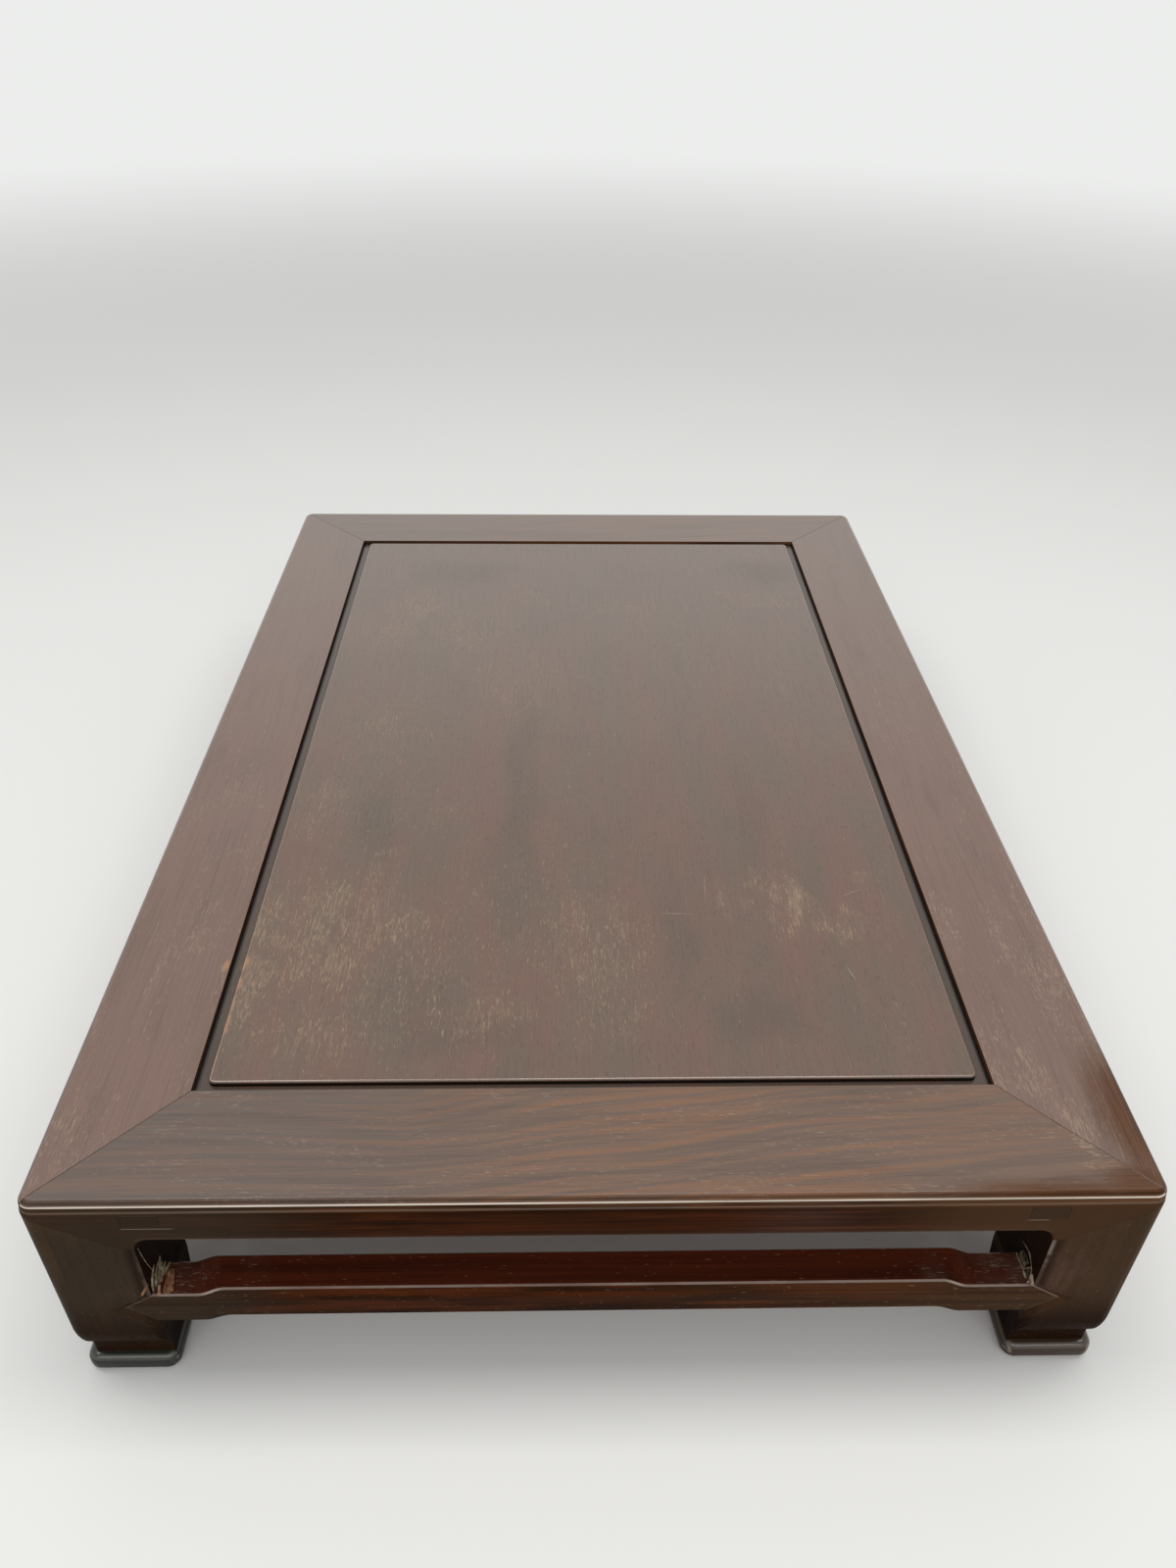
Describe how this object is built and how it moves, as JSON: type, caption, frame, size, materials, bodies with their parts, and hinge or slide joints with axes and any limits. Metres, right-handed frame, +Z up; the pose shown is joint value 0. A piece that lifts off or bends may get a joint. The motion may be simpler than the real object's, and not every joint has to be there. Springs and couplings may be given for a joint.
{
  "type": "low display table",
  "caption": "Low hardwood display table: mitred frame round a floating panel, square legs with undercut hoof feet, humpbacked stretchers below.",
  "frame": {"origin": "on the floor, under the middle of the top", "axes": "+X across the short side, +Y along the long side from the front end to the back end, +Z up"},
  "size_m": [0.31, 0.45, 0.085],
  "materials": {
    "frame_wood": "satin",
    "panel_wood": "satin",
    "leg_wood": "satin",
    "stretcher_wood": "satin",
    "batten_wood": "matte"
  },
  "bodies": {
    "root": {"long_rail_left": "frame_wood", "long_rail_right": "frame_wood", "short_rail_front": "frame_wood", "short_rail_back": "frame_wood", "centre_panel": "panel_wood", "batten_front": "batten_wood", "batten_back": "batten_wood", "leg_front_left": "leg_wood", "leg_front_right": "leg_wood", "leg_back_left": "leg_wood", "leg_back_right": "leg_wood", "stretcher_front": "stretcher_wood", "stretcher_back": "stretcher_wood", "stretcher_left": "stretcher_wood", "stretcher_right": "stretcher_wood"}
  },
  "joints": []
}
